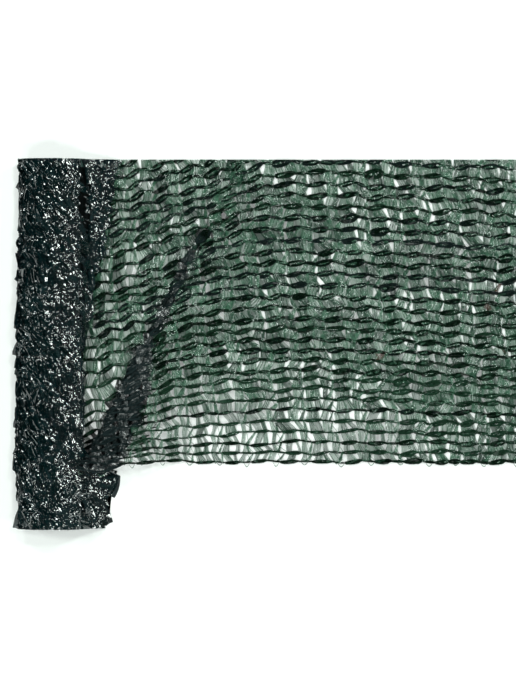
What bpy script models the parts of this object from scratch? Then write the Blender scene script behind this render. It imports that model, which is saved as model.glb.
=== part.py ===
"""A short roll of warp-knitted greenhouse shade net with its loose end drawn out over a table.

The roll lies along Y. The loose end runs from it towards +X, pulled a little askew, so that the slack
lies in one flat pleat: wide at the near edge, where its tip rests on the roll, and fading out far up.
The origin is on the table, below the centre of the whole piece. Z points up.
"""

import math
from collections import namedtuple

import bmesh
import bpy

MM = 0.001  # the sizes below are in millimetres, and every point is scaled once, as its mesh is made

# The whole piece
OVERALL_WIDTH = 192.0  # X, from the roll's outer side to the cut end of the loose net
OVERALL_LENGTH = 140.0  # Y, the length of net cut off the roll

# The roll
ROLL_WIDTH = 25.5
ROLL_HEIGHT = 14.0
FLAT_SINK = 0.35  # how far the round underside is pressed flat
ROLL_SIDES = 36
ROLL_STEP = 6.0  # the longest stretch of the roll between two rings of points
SKIRT_THINNING = 0.35  # how much lower a skirt lies than the roll's own round flank
SKIRT_TOP_DEG = 5.0  # where on the flank a skirt starts to reach out
SKIRT_LIP_DEG = -55.0  # where it reaches its full width
SKIRT_SOLE_DEG = -80.0  # where it meets the table

# The loose end
NET_THICKNESS = 1.0
NEAR_EDGE = -45.4  # Y of the loose end's near edge
GAP = 0.6  # between the loose end's hidden start and the roll
START_STEPS = 5
PLEAT_STEPS = 26
RUN_STEPS = 17
ACROSS_STEPS = 34
PLEAT_ADVANCE = 3.0  # how far the net gets towards +X over the pleat's three layers
PLEAT_TURN_RADIUS = 1.3
LEAST_PLEAT = 0.1  # half the width at which the pleat counts as run out
FIRST_TURN = 0.25  # where its two folds lie along its three layers, from 0 to 1
SECOND_TURN = 0.75
COVER_START = 0.15  # the net changes from the bottom layer to those over it between these
COVER_END = 0.40
PLEAT_RUN_OUT = 34.0  # length over which the raised top layer comes down to the table
TIP_RAMP_START = 33.0  # distances from the roll's outer side: the pleat's tip climbs the roll between them
TIP_RAMP_END = 22.5
TIP_CLIMB = 8.4
LIP_DROOP = 3.6  # how far the pleat's lip hangs past the near edge
LIP_PLACE = 30.0
LIP_WIDTH = 8.0
LIP_FADE = 8  # how fast the droop dies out away from the near edge
HIDDEN_EDGE_SETBACK = 2.2  # the bottom layer of the pleat stops short of the near skirt
SWELL_RUN_IN = 12.0  # the net lies flat where it comes out from the roll

# A row for each section of the roll: its Y, how far its outer side is drawn in, how far its inner side
# or skirt reaches from the outer side, and how much of a skirt there is, from 0 to 1.
Section = namedtuple("Section", "y drawn_in reach skirt")
ROLL_SECTIONS = (
    Section(y=-OVERALL_LENGTH / 2.0, drawn_in=1.5, reach=33.8, skirt=1.0),
    Section(y=-67.0, drawn_in=1.2, reach=35.0, skirt=1.0),
    Section(y=-59.5, drawn_in=0.8, reach=35.8, skirt=1.0),
    Section(y=-52.0, drawn_in=0.2, reach=37.0, skirt=1.0),
    Section(y=-47.5, drawn_in=0.0, reach=38.2, skirt=1.0),
    Section(y=-44.6, drawn_in=0.0, reach=26.5, skirt=0.0),
    Section(y=-16.0, drawn_in=0.2, reach=25.5, skirt=0.0),
    Section(y=-10.0, drawn_in=0.2, reach=26.0, skirt=0.3),
    Section(y=-2.5, drawn_in=0.3, reach=27.2, skirt=0.8),
    Section(y=24.0, drawn_in=0.5, reach=31.6, skirt=1.0),
    Section(y=45.0, drawn_in=1.0, reach=36.0, skirt=1.0),
    Section(y=OVERALL_LENGTH / 2.0, drawn_in=1.2, reach=41.8, skirt=1.0),
)

# A row for each section of the pleat: its Y, its two folds' distances from the roll's outer side, and how
# high its top layer lies over its bottom one.
Pleat = namedtuple("Pleat", "y left right rise")
PLEAT_SECTIONS = (
    Pleat(y=-49.0, left=23.5, right=38.5, rise=7.6),
    Pleat(y=-45.4, left=22.4, right=39.9, rise=7.2),
    Pleat(y=-40.5, left=25.8, right=42.2, rise=6.2),
    Pleat(y=-32.9, left=30.4, right=45.2, rise=5.4),
    Pleat(y=-25.3, left=33.6, right=48.3, rise=5.0),
    Pleat(y=-18.0, left=38.0, right=50.2, rise=4.8),
    Pleat(y=-8.2, left=42.2, right=50.9, rise=4.6),
    Pleat(y=0.6, left=47.1, right=52.4, rise=4.4),
    Pleat(y=11.6, left=53.2, right=57.4, rise=4.2),
    Pleat(y=24.0, left=59.3, right=63.5, rise=4.0),
    Pleat(y=32.5, left=63.2, right=67.4, rise=3.8),
    Pleat(y=40.0, left=67.6, right=70.4, rise=3.4),
    Pleat(y=45.0, left=70.6, right=71.2, rise=2.8),
    Pleat(y=53.0, left=74.0, right=74.0, rise=1.2),
    Pleat(y=OVERALL_LENGTH / 2.0, left=80.0, right=80.0, rise=0.0),
)

# A row for each soft swell of the loose end: its centre from the roll's outer side and its Y, its half
# length and half width, how far its length is turned from +X, and its height.
Swell = namedtuple("Swell", "x y length width turn_deg height")
SWELLS = (
    Swell(x=96.0, y=48.0, length=34.0, width=13.0, turn_deg=-10.0, height=4.2),
    Swell(x=150.0, y=30.0, length=38.0, width=12.0, turn_deg=6.0, height=3.6),
    Swell(x=112.0, y=6.0, length=30.0, width=11.0, turn_deg=12.0, height=3.0),
    Swell(x=166.0, y=-14.0, length=30.0, width=13.0, turn_deg=-8.0, height=4.0),
    Swell(x=86.0, y=-22.0, length=24.0, width=10.0, turn_deg=9.0, height=2.4),
    Swell(x=134.0, y=-36.0, length=26.0, width=9.0, turn_deg=3.0, height=2.2),
    Swell(x=52.0, y=52.0, length=20.0, width=9.0, turn_deg=32.0, height=2.6),
    Swell(x=44.0, y=22.0, length=15.0, width=8.0, turn_deg=34.0, height=2.0),
)


def smooth_step(t):
    """0 below 0, 1 above 1, and an even S between."""
    t = min(max(t, 0.0), 1.0)
    return t * t * (3.0 - 2.0 * t)


def at(rows, column, y):
    """The value of a table's column at y, on a smooth curve through the rows that never overshoots them."""
    ys = [row.y for row in rows]
    values = [getattr(row, column) for row in rows]
    if y <= ys[0]:
        return values[0]
    if y >= ys[-1]:
        return values[-1]
    slopes = [(values[i + 1] - values[i]) / (ys[i + 1] - ys[i]) for i in range(len(ys) - 1)]
    tangents = [slopes[0]]
    for before, after in zip(slopes, slopes[1:]):
        tangents.append(2.0 * before * after / (before + after) if before * after > 0.0 else 0.0)
    tangents.append(slopes[-1])
    i = max(k for k in range(len(ys) - 1) if ys[k] <= y)
    step = ys[i + 1] - ys[i]
    t = (y - ys[i]) / step
    return (
        (1.0 + 2.0 * t) * (1.0 - t) ** 2 * values[i]
        + t * (1.0 - t) ** 2 * step * tangents[i]
        + t * t * (3.0 - 2.0 * t) * values[i + 1]
        + t * t * (t - 1.0) * step * tangents[i + 1]
    )


def roll_point(y, angle):
    """A point of the roll's skin: x from the roll's outer side, and z. The angle is taken from +X."""
    drawn_in = at(ROLL_SECTIONS, "drawn_in", y)
    half = (ROLL_WIDTH - drawn_in) / 2.0
    x = drawn_in + half * (1.0 + math.cos(angle))
    z = (ROLL_HEIGHT + FLAT_SINK) / 2.0 * (1.0 + math.sin(angle)) - FLAT_SINK
    degrees = math.degrees(angle)
    if degrees > 180.0:
        degrees -= 360.0
    if -90.0 < degrees < SKIRT_TOP_DEG:
        outward = smooth_step((SKIRT_TOP_DEG - degrees) / (SKIRT_TOP_DEG - SKIRT_LIP_DEG))
        outward *= smooth_step((degrees + 90.0) / (SKIRT_SOLE_DEG + 90.0))
        outward *= at(ROLL_SECTIONS, "skirt", y)
        x += outward * (at(ROLL_SECTIONS, "reach", y) - x)
        z *= 1.0 - SKIRT_THINNING * outward
    return x, max(z, 0.0)


def roll_rings():
    """The Y of each ring of points along the roll: every section, and even steps between them."""
    rings = [ROLL_SECTIONS[0].y]
    for before, after in zip(ROLL_SECTIONS, ROLL_SECTIONS[1:]):
        steps = math.ceil((after.y - before.y) / ROLL_STEP)
        rings += [before.y + (after.y - before.y) * (i + 1) / steps for i in range(steps)]
    return rings


def swell_height(x, y):
    """How far the soft swells lift the loose end off the table at this point."""
    lift = 0.0
    for swell in SWELLS:
        turn = math.radians(swell.turn_deg)
        dx, dy = x - swell.x, y - swell.y
        along = (dx * math.cos(turn) + dy * math.sin(turn)) / swell.length
        aside = (dy * math.cos(turn) - dx * math.sin(turn)) / swell.width
        lift += swell.height * smooth_step(1.0 - math.hypot(along, aside))
    return lift


def start_of_net(y):
    """Where the loose end comes out from under the roll, or from the skirt where the roll has one."""
    underside = [roll_point(y, math.radians(-degrees)) for degrees in range(10, 90, 2)]
    return max(x for x, z in underside if z < NET_THICKNESS + GAP) + GAP


def tip_climb(x):
    """How far the pleat's upper layers are lifted where they lie over the roll's flank."""
    return TIP_CLIMB * smooth_step((TIP_RAMP_START - x) / (TIP_RAMP_START - TIP_RAMP_END))


def net_point(u, v):
    """A point of the loose end's middle surface, in millimetres from the roll's outer side.

    u runs from 0 to 1 before the pleat, from 1 to 2 over its three layers and from 2 to 3 after it.
    v runs from 0 at the near edge to 1 at the far edge. The pleat's layers that lie over the bottom one
    count as covering it: they climb the roll at the tip, and reach past the bottom one at the near edge.
    """
    far = OVERALL_LENGTH / 2.0
    covered = smooth_step((u - 1.0 - COVER_START) / (COVER_END - COVER_START))
    near = NEAR_EDGE + HIDDEN_EDGE_SETBACK * (1.0 - covered)
    y = near + (far - near) * v
    left = at(PLEAT_SECTIONS, "left", y)
    right = at(PLEAT_SECTIONS, "right", y)
    rise = at(PLEAT_SECTIONS, "rise", y)
    middle = (left + right) / 2.0
    half = (right - left) / 2.0
    before = middle - PLEAT_ADVANCE / 2.0
    after = middle + PLEAT_ADVANCE / 2.0
    start = start_of_net(y)
    if u < 1.0:
        x = start + (before - start) * u
        layer = 0.0
    elif u < 2.0:
        s = u - 1.0
        x = before + PLEAT_ADVANCE * s + half * math.sin(2.0 * math.pi * s)
        turn = math.sqrt(2.0 * PLEAT_TURN_RADIUS / max(half, LEAST_PLEAT)) / (2.0 * math.pi)
        turn = min(turn, FIRST_TURN)
        layer = smooth_step(0.5 + (s - FIRST_TURN) / (2.0 * turn)) / 2.0
        layer += smooth_step(0.5 + (s - SECOND_TURN) / (2.0 * turn)) / 2.0
    else:
        x = after + (OVERALL_WIDTH - after) * (u - 2.0)
        layer = 1.0 - smooth_step((x - after) / PLEAT_RUN_OUT)
    droop = LIP_DROOP * covered * math.exp(-(((x - LIP_PLACE) / LIP_WIDTH) ** 2))
    y -= droop * (1.0 - v) ** LIP_FADE
    z = NET_THICKNESS / 2.0 + rise * layer + covered * tip_climb(x)
    z += swell_height(x, y) * smooth_step((x - start) / SWELL_RUN_IN)
    return x, y, z


def net_steps():
    """The u of each line of the loose end's grid, closest together over the pleat."""
    start = [i / START_STEPS for i in range(START_STEPS)]
    pleat = [1.0 + i / PLEAT_STEPS for i in range(PLEAT_STEPS)]
    run = [2.0 + i / RUN_STEPS for i in range(RUN_STEPS + 1)]
    return start + pleat + run


def new_material(name, colour, roughness):
    """A plain plastic finish."""
    material = bpy.data.materials.new(name)
    material.use_nodes = True
    shader = material.node_tree.nodes["Principled BSDF"]
    shader.inputs["Base Color"].default_value = (*colour, 1.0)
    shader.inputs["Roughness"].default_value = roughness
    shader.inputs["Metallic"].default_value = 0.0
    return material


def grid_mesh(name, rows, closed):
    """A mesh of quads over rows of points. With closed, each row is a ring, and flat ends cap the tube."""
    mesh = bpy.data.meshes.new(name)
    shape = bmesh.new()
    left = -OVERALL_WIDTH / 2.0
    grid = [[shape.verts.new(((left + x) * MM, y * MM, z * MM)) for x, y, z in row] for row in rows]
    for lower, upper in zip(grid, grid[1:]):
        for i in range(len(lower) - (not closed)):
            j = (i + 1) % len(lower)
            shape.faces.new((lower[i], lower[j], upper[j], upper[i]))
    if closed:
        shape.faces.new(grid[0])
        shape.faces.new(grid[-1])
    bmesh.ops.recalc_face_normals(shape, faces=shape.faces[:])
    for face in shape.faces:
        face.smooth = len(face.verts) == 4
    shape.to_mesh(mesh)
    shape.free()
    return mesh


def add_object(name, mesh, material):
    mesh.materials.append(material)
    shape = bpy.data.objects.new(name, mesh)
    bpy.context.scene.collection.objects.link(shape)
    return shape


def build_roll():
    """The wound net, one solid with flat cut ends."""
    angles = [math.radians(-90.0 + 360.0 * i / ROLL_SIDES) for i in range(ROLL_SIDES)]
    rows = []
    for y in roll_rings():
        rows.append([(x, y, z) for x, z in (roll_point(y, angle) for angle in angles)])
    mesh = grid_mesh("net_roll", rows, closed=True)
    add_object("net_roll", mesh, new_material("wound_net", (0.012, 0.018, 0.016), 0.35))


def build_loose_end():
    """The drawn-out net: its middle surface, given its thickness."""
    rows = []
    for i in range(ACROSS_STEPS + 1):
        rows.append([net_point(u, i / ACROSS_STEPS) for u in net_steps()])
    mesh = grid_mesh("loose_end", rows, closed=False)
    net = add_object("loose_end", mesh, new_material("green_net", (0.05, 0.12, 0.07), 0.35))
    thicken = net.modifiers.new("Thickness", "SOLIDIFY")
    thicken.thickness = NET_THICKNESS * MM
    thicken.offset = 0.0


for leftover in list(bpy.data.objects):
    bpy.data.objects.remove(leftover, do_unlink=True)
build_roll()
build_loose_end()
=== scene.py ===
"""A short roll of knitted greenhouse shade net, its loose end drawn out over a table with one pleat.

Chains of stitches run lengthwise, out of the roll and across the table. Flat film tapes are laid in
between neighbouring chains from side to side, and leave the small openings that let the light through.
All sizes are in millimetres until a mesh is made.
"""

import math
from collections import namedtuple

import bpy
import numpy as np
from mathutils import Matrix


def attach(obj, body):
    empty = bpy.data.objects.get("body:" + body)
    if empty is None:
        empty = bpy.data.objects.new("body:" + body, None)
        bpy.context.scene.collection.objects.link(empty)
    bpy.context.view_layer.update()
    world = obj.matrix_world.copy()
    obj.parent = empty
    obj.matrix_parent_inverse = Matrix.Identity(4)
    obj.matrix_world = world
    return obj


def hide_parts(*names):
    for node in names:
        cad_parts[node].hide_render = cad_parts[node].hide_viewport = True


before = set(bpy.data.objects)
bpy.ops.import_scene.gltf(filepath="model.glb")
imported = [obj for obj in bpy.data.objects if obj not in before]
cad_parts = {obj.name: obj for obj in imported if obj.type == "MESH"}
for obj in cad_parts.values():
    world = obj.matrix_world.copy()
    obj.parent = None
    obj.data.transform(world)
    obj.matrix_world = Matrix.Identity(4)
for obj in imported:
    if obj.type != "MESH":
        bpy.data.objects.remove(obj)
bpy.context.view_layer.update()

MM = 0.001


# ----------------------------------------------------------
# Table, lights and camera
# A plain white table under soft studio light. The camera looks straight down through a long lens.

VIEW_WIDTH = 196.0
VIEW_CENTRE_X = -4.4
CAMERA_HEIGHT = 1500.0
SENSOR_WIDTH = 36.0
TABLE_SIZE = 4.0  # in metres, as the lamps' sizes and distance are
TABLE_COLOUR = (0.86, 0.865, 0.86)
TABLE_GLOW = 0.16
SKY_COLOUR = (0.92, 0.96, 1.0)
SKY_GLOW = 0.06
LAMP_DISTANCE = 1.1
LAMP_COLOUR = (0.92, 1.0, 0.955)


def table_of(columns, *rows):
    """Rows whose columns have these names."""
    row_of = namedtuple("Row", columns)
    return [row_of(*row) for row in rows]


# A row for each lamp: its direction round the table, its height over it, its size and its power in watts.
LAMPS = table_of(
    "name turn_deg height_deg size power",
    ("left_lamp", 172.0, 26.0, 0.18, 2.9),
    ("left_high_lamp", 158.0, 62.0, 0.12, 1.6),
    ("left_back_lamp", 128.0, 46.0, 0.14, 1.9),
    ("back_lamp", 92.0, 36.0, 0.16, 2.1),
    ("back_high_lamp", 66.0, 66.0, 0.12, 1.6),
    ("right_back_lamp", 40.0, 42.0, 0.14, 1.9),
    ("right_lamp", 4.0, 54.0, 0.14, 1.8),
    ("right_front_lamp", -34.0, 38.0, 0.14, 1.8),
    ("front_high_lamp", -70.0, 64.0, 0.12, 1.6),
    ("front_lamp", -100.0, 36.0, 0.16, 2.0),
    ("left_front_lamp", -140.0, 48.0, 0.14, 1.9),
)


def plain_finish(name, colour, roughness):
    """A new material and its shader node."""
    material = bpy.data.materials.new(name)
    material.use_nodes = True
    shader = material.node_tree.nodes["Principled BSDF"]
    shader.inputs["Base Color"].default_value = (*colour, 1.0)
    shader.inputs["Roughness"].default_value = roughness
    return material, shader


bpy.ops.object.select_all(action="DESELECT")
bpy.ops.mesh.primitive_plane_add(size=TABLE_SIZE, location=(0.0, 0.0, 0.0))
table = bpy.context.object
table.name = "table"
white_paint, white_shader = plain_finish("white_table", TABLE_COLOUR, roughness=0.85)
white_shader.inputs["Specular IOR Level"].default_value = 0.1
white_shader.inputs["Emission Color"].default_value = (1.0, 1.0, 1.0, 1.0)
white_shader.inputs["Emission Strength"].default_value = TABLE_GLOW
table.data.materials.append(white_paint)

for lamp in LAMPS:
    turn, height = math.radians(lamp.turn_deg), math.radians(lamp.height_deg)
    reach = LAMP_DISTANCE * math.cos(height)
    place = (reach * math.cos(turn), reach * math.sin(turn), LAMP_DISTANCE * math.sin(height))
    bpy.ops.object.light_add(type="AREA", location=place)
    light = bpy.context.object
    light.name = lamp.name
    light.data.size = lamp.size
    light.data.energy = lamp.power
    light.data.color = LAMP_COLOUR
    light.rotation_euler = (-light.location).to_track_quat("-Z", "Y").to_euler()

sky = bpy.data.worlds.new("studio")
bpy.context.scene.world = sky
sky.use_nodes = True
sky.node_tree.nodes["Background"].inputs["Color"].default_value = (*SKY_COLOUR, 1.0)
sky.node_tree.nodes["Background"].inputs["Strength"].default_value = SKY_GLOW

bpy.ops.object.camera_add(location=(VIEW_CENTRE_X * MM, 0.0, CAMERA_HEIGHT * MM), rotation=(0.0, 0.0, 0.0))
camera = bpy.context.object
camera.data.sensor_fit = "HORIZONTAL"
camera.data.sensor_width = SENSOR_WIDTH
camera.data.lens = SENSOR_WIDTH * CAMERA_HEIGHT / VIEW_WIDTH
bpy.context.scene.camera = camera
bpy.context.scene.view_settings.view_transform = "Standard"


# ----------------------------------------------------------
# The net's lie
# One length of net, wound on itself, its end drawn out askew, so that the slack lies in one flat pleat.
# These are the roll's skin and the loose end's middle surface, as the frame's two solids have them.

OVERALL_WIDTH = 192.0
OVERALL_LENGTH = 140.0
FAR_EDGE = OVERALL_LENGTH / 2.0
ROLL_WIDTH = 25.5
ROLL_HEIGHT = 14.0
FLAT_SINK = 0.35  # how far the round underside is pressed flat
SKIRT_THINNING = 0.35
SKIRT_TOP_DEG = 5.0
SKIRT_LIP_DEG = -55.0
SKIRT_SOLE_DEG = -80.0
NET_THICKNESS = 1.0
NEAR_EDGE = -45.4  # Y of the loose end's near edge
GAP = 0.6  # between the loose end's hidden start and the roll
PLEAT_ADVANCE = 3.0  # how far the net gets towards +X over the pleat's three layers
PLEAT_TURN_RADIUS = 1.3
LEAST_PLEAT = 0.1
FIRST_TURN = 0.25  # where its two folds lie along its three layers, from 0 to 1
SECOND_TURN = 0.75
COVER_START = 0.15  # the net changes from the bottom layer to those over it between these
COVER_END = 0.40
PLEAT_RUN_OUT = 34.0
TIP_RAMP_START = 33.0
TIP_RAMP_END = 22.5
TIP_CLIMB = 8.4
LIP_DROOP = 3.6
LIP_PLACE = 30.0
LIP_WIDTH = 8.0
LIP_FADE = 8
HIDDEN_EDGE_SETBACK = 2.2
SWELL_RUN_IN = 12.0

# A row for each section of the roll: its Y, how far its outer side is drawn in, how far its inner side
# or skirt reaches from the outer side, and how much of a skirt there is, from 0 to 1.
ROLL_SECTIONS = table_of(
    "y drawn_in reach skirt",
    (-FAR_EDGE, 1.5, 33.8, 1.0),
    (-67.0, 1.2, 35.0, 1.0),
    (-59.5, 0.8, 35.8, 1.0),
    (-52.0, 0.2, 37.0, 1.0),
    (-47.5, 0.0, 38.2, 1.0),
    (-44.6, 0.0, 26.5, 0.0),
    (-16.0, 0.2, 25.5, 0.0),
    (-10.0, 0.2, 26.0, 0.3),
    (-2.5, 0.3, 27.2, 0.8),
    (24.0, 0.5, 31.6, 1.0),
    (45.0, 1.0, 36.0, 1.0),
    (FAR_EDGE, 1.2, 41.8, 1.0),
)

# A row for each section of the pleat: its Y, its two folds' distances from the roll's outer side, and how
# high its top layer lies over its bottom one.
PLEAT_SECTIONS = table_of(
    "y left right rise",
    (-49.0, 23.5, 38.5, 7.6),
    (-45.4, 22.4, 39.9, 7.2),
    (-40.5, 25.8, 42.2, 6.2),
    (-32.9, 30.4, 45.2, 5.4),
    (-25.3, 33.6, 48.3, 5.0),
    (-18.0, 38.0, 50.2, 4.8),
    (-8.2, 42.2, 50.9, 4.6),
    (0.6, 47.1, 52.4, 4.4),
    (11.6, 53.2, 57.4, 4.2),
    (24.0, 59.3, 63.5, 4.0),
    (32.5, 63.2, 67.4, 3.8),
    (40.0, 67.6, 70.4, 3.4),
    (45.0, 70.6, 71.2, 2.8),
    (53.0, 74.0, 74.0, 1.2),
    (FAR_EDGE, 80.0, 80.0, 0.0),
)

# A row for each soft swell of the loose end: its centre from the roll's outer side and its Y, its half
# length and half width, how far its length is turned from +X, and its height.
SWELLS = table_of(
    "x y length width turn_deg height",
    (96.0, 48.0, 34.0, 13.0, -10.0, 4.2),
    (150.0, 30.0, 38.0, 12.0, 6.0, 3.6),
    (112.0, 6.0, 30.0, 11.0, 12.0, 3.0),
    (166.0, -14.0, 30.0, 13.0, -8.0, 4.0),
    (86.0, -22.0, 24.0, 10.0, 9.0, 2.4),
    (134.0, -36.0, 26.0, 9.0, 3.0, 2.2),
    (52.0, 52.0, 20.0, 9.0, 32.0, 2.6),
    (44.0, 22.0, 15.0, 8.0, 34.0, 2.0),
)


def smooth_step(t):
    """0 below 0, 1 above 1, and an even S between."""
    t = np.clip(t, 0.0, 1.0)
    return t * t * (3.0 - 2.0 * t)


def ease(value, start, end):
    """0 before the start, 1 past the end, and an even S between. The end may be the lower one."""
    return smooth_step((value - start) / (end - start))


def curve_through(rows, column):
    """A function of y: the smooth curve through a table's column, which never overshoots its rows."""
    ys = np.array([row.y for row in rows])
    values = np.array([getattr(row, column) for row in rows])
    steps = np.diff(ys)
    slopes = np.diff(values) / steps
    before, after = slopes[:-1], slopes[1:]
    same_way = before * after > 0.0
    inner = np.where(same_way, 2.0 * before * after / np.where(same_way, before + after, 1.0), 0.0)
    tangents = np.concatenate(([slopes[0]], inner, [slopes[-1]]))

    def value_at(y):
        y = np.clip(y, ys[0], ys[-1])
        i = np.clip(np.searchsorted(ys, y, side="right") - 1, 0, len(ys) - 2)
        step = steps[i]
        t = (y - ys[i]) / step
        return (
            (1.0 + 2.0 * t) * (1.0 - t) ** 2 * values[i]
            + t * (1.0 - t) ** 2 * step * tangents[i]
            + t * t * (3.0 - 2.0 * t) * values[i + 1]
            + t * t * (t - 1.0) * step * tangents[i + 1]
        )

    return value_at


drawn_in_at = curve_through(ROLL_SECTIONS, "drawn_in")
reach_at = curve_through(ROLL_SECTIONS, "reach")
skirt_at = curve_through(ROLL_SECTIONS, "skirt")
left_fold_at = curve_through(PLEAT_SECTIONS, "left")
right_fold_at = curve_through(PLEAT_SECTIONS, "right")
rise_at = curve_through(PLEAT_SECTIONS, "rise")


def roll_skin(y, degrees):
    """Points of the roll's skin. The angle is taken from +X, from -90 under it round to 270."""
    y, degrees = np.broadcast_arrays(np.asarray(y, float), np.asarray(degrees, float))
    angle = np.radians(degrees)
    drawn_in = drawn_in_at(y)
    half = (ROLL_WIDTH - drawn_in) / 2.0
    x = drawn_in + half * (1.0 + np.cos(angle))
    z = (ROLL_HEIGHT + FLAT_SINK) / 2.0 * (1.0 + np.sin(angle)) - FLAT_SINK
    outward = ease(degrees, SKIRT_TOP_DEG, SKIRT_LIP_DEG) * ease(degrees, -90.0, SKIRT_SOLE_DEG) * skirt_at(y)
    x = x + outward * (reach_at(y) - x)
    z = z * (1.0 - SKIRT_THINNING * outward)
    return np.stack((x, y, np.maximum(z, 0.0)), axis=-1)


def start_curve():
    """Where the loose end comes out from under the roll or its skirt, for a run of Y."""
    ys = np.arange(-FAR_EDGE, FAR_EDGE + 0.5, 0.5)
    skin = roll_skin(ys[:, None], -np.arange(10.0, 90.0, 2.0)[None, :])
    low = skin[:, :, 2] < NET_THICKNESS + GAP
    return ys, np.where(low, skin[:, :, 0], -1.0).max(axis=1) + GAP


START_YS, START_XS = start_curve()


def swell_height(x, y):
    """How far the soft swells lift the loose end there."""
    lift = np.zeros_like(x)
    for swell in SWELLS:
        turn = math.radians(swell.turn_deg)
        dx, dy = x - swell.x, y - swell.y
        along = (dx * math.cos(turn) + dy * math.sin(turn)) / swell.length
        aside = (dy * math.cos(turn) - dx * math.sin(turn)) / swell.width
        lift = lift + swell.height * smooth_step(1.0 - np.hypot(along, aside))
    return lift


def covered_at(u):
    """0 up to the pleat's bottom layer, and 1 in those over it and past them."""
    return ease(u - 1.0, COVER_START, COVER_END)


def near_edge_at(u):
    """Y of the loose end's near edge: the pleat's bottom layer stops a little short of the others."""
    return NEAR_EDGE + HIDDEN_EDGE_SETBACK * (1.0 - covered_at(u))


def net_surface(u, y):
    """Points of the loose end's middle surface.

    u runs from 0 to 1 before the pleat, from 1 to 2 over its three layers and from 2 to 3 after it.
    """
    u, y = np.broadcast_arrays(np.asarray(u, float), np.asarray(y, float))
    covered = covered_at(u)
    left, right = left_fold_at(y), right_fold_at(y)
    half = (right - left) / 2.0
    before = (left + right - PLEAT_ADVANCE) / 2.0
    after = before + PLEAT_ADVANCE
    start = np.interp(y, START_YS, START_XS)
    s = np.clip(u - 1.0, 0.0, 1.0)
    turn = np.sqrt(2.0 * PLEAT_TURN_RADIUS / np.maximum(half, LEAST_PLEAT)) / (2.0 * math.pi)
    turn = np.minimum(turn, FIRST_TURN)
    layer = smooth_step(0.5 + (s - FIRST_TURN) / (2.0 * turn)) / 2.0
    layer = layer + smooth_step(0.5 + (s - SECOND_TURN) / (2.0 * turn)) / 2.0
    x = np.where(u < 1.0, start + (before - start) * u, after + (OVERALL_WIDTH - after) * (u - 2.0))
    on_pleat = (u >= 1.0) & (u < 2.0)
    x = np.where(on_pleat, before + PLEAT_ADVANCE * s + half * np.sin(2.0 * math.pi * s), x)
    layer = np.where(u < 1.0, 0.0, layer)
    layer = np.where(u >= 2.0, 1.0 - smooth_step((x - after) / PLEAT_RUN_OUT), layer)
    near = near_edge_at(u)
    v = np.clip((y - near) / (FAR_EDGE - near), 0.0, 1.0)
    droop = LIP_DROOP * covered * np.exp(-(((x - LIP_PLACE) / LIP_WIDTH) ** 2))
    lie_y = y - droop * (1.0 - v) ** LIP_FADE
    climb = TIP_CLIMB * ease(x, TIP_RAMP_START, TIP_RAMP_END)
    z = NET_THICKNESS / 2.0 + rise_at(y) * layer + covered * climb
    z = z + swell_height(x, lie_y) * smooth_step((x - start) / SWELL_RUN_IN)
    return np.stack((x, lie_y, z), axis=-1)


# ----------------------------------------------------------
# Chains of the loose end
# Each chain is one strand of film tape, drawn to a cord by the needle and looped through itself, stitch
# after stitch. The laid-in tapes pull it a little to one side and the other at each stitch.

CHAIN_NEAR = -44.7  # Y of the outermost chain
EDGE_CHAIN_U = 1.8  # from the cut end back to here it keeps to that Y
CHAIN_POINTS = (451, 401, 141)  # on the drawn-out net, over the pleat and on to the roll
LONG_STITCH = 1.14  # every second stitch is longer and stouter than the others
STOUT_STITCH = 1.24
FINE_STITCH = 0.66
KNOT_SHARE = 0.03  # of the stitches: bunched up
KNOT_GIRTH = 1.5
UNEVEN_GIRTH = (0.85, 1.12)
NEAR_THINNING = 0.38  # how much thinner they are drawn near the near edge
COURSE_LEAN = -0.13  # X over Y from one chain's stitch to the next chain's
UNEVEN_COURSE = 0.06  # in stitches, and so is the next
COURSE_WANDER = 0.28
EDGE_WAVE = 0.12  # how far the tapes pull the outermost chain aside, with a tape on one side only
UNEVEN_WAVE = 0.22
WAVELENGTHS = (3.0, 9.0)  # in stitches, of the slow waves in which a chain wobbles aside
WOBBLE = 0.55
STITCH_HALF_WIDTH = 0.62
STITCH_HEIGHT = 0.32
STRAND_HALF_WIDTH = 0.42
STRAND_HALF_DEPTH = 0.26
STRAND_SIDES = 4
STRAND_TWIST = 0.35

# A row for each point of a stitch's strand: how far along it lies, in stitches, how far aside as a share of
# the half width, and how high as a share of the height. It bows out along one side, turns at the head,
# comes back along the other side and passes on underneath.
STITCH = table_of(
    "along aside height",
    (0.00, 0.10, -0.30),
    (0.12, 0.60, 0.25),
    (0.34, 0.98, 0.60),
    (0.60, 1.00, 0.65),
    (0.86, 0.72, 0.35),
    (1.06, 0.30, 0.00),
    (1.11, -0.10, -0.15),
    (1.02, -0.50, 0.10),
    (0.80, -0.86, 0.40),
    (0.54, -1.00, 0.65),
    (0.28, -0.80, 0.50),
    (0.08, -0.30, 0.00),
    (0.30, 0.00, -0.70),
    (0.70, 0.05, -0.80),
)
OVERRUN = 6.0  # how far the net is knitted on past its cut edges, before it is cut
CUT_END_U = 3.08  # a little past the cut end
FULL_TURN = 6.28  # in radians, for the chains' waves

# Y over X of a chain: where it leaves the roll, in the pleat's turned-over layer, and what is added where it
# sags far from the roll, where it spreads beside the pleat, and where it is drawn aside at the pleat's fold.
LEFT_SLOPE = 0.30
MIDDLE_SLOPE = -0.62
SAG_SLOPE = -0.045
SPREAD_SLOPE = 0.10
DRAWN_SLOPE = 0.40

# A row for each band of chains at the cut end, from the near edge on: how many, and how far apart.
CHAIN_BANDS = table_of(
    "chains pitch",
    (9, 3.33),
    (5, 3.9),
    (26, 4.3),
)

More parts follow.
